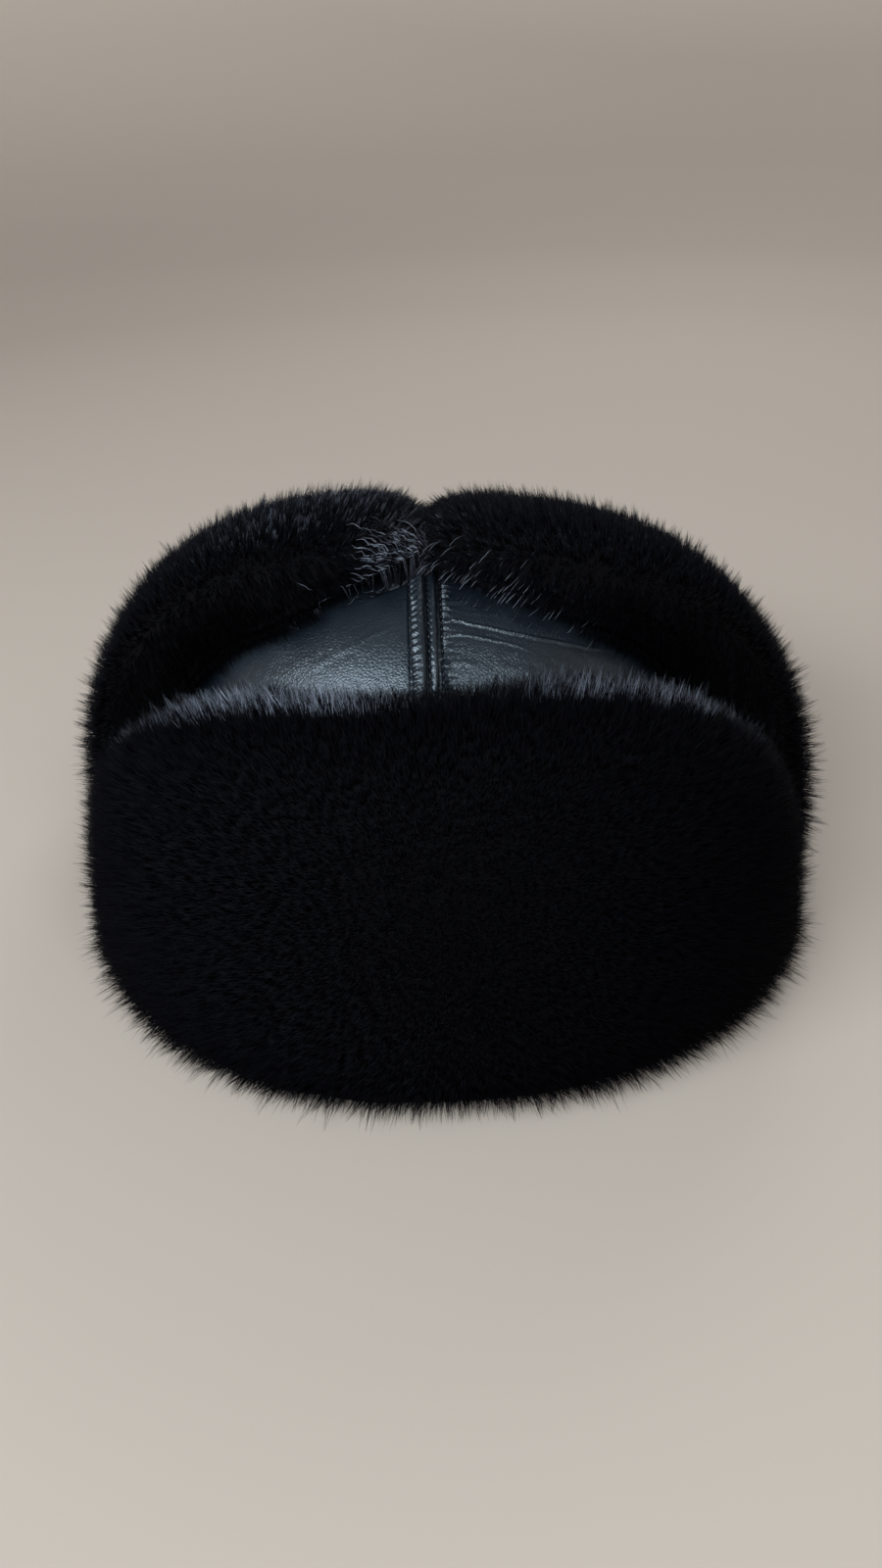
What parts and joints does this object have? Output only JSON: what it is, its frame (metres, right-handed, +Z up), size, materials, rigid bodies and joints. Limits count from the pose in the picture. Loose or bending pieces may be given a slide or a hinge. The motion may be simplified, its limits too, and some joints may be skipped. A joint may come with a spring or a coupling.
{
  "type": "ushanka",
  "caption": "Black fur and leather winter hat with a turned-up front panel, a turned-up back panel and ear flaps folded over the crown until their ends meet.",
  "frame": {"origin": "below the middle of the hat, in the plane that its rim rests on", "axes": "+Z up through the crown; the front of the hat (its visor) faces -Y; +X is on the right of someone who looks at the front"},
  "size_m": [0.2596, 0.2892, 0.1457],
  "materials": {
    "leather": "soft black nappa leather, satin, with fine pores and light creases",
    "fur": "short dense black mink fur, deep black with a soft sheen at the hair tips"
  },
  "bodies": {
    "root": {"crown_panel_left": "leather", "crown_panel_right": "leather", "seam_welt_left": "leather", "seam_welt_right": "leather", "visor": "fur", "ear_flap_left": "fur", "ear_flap_right": "fur", "nape_flap": "fur"}
  },
  "joints": []
}
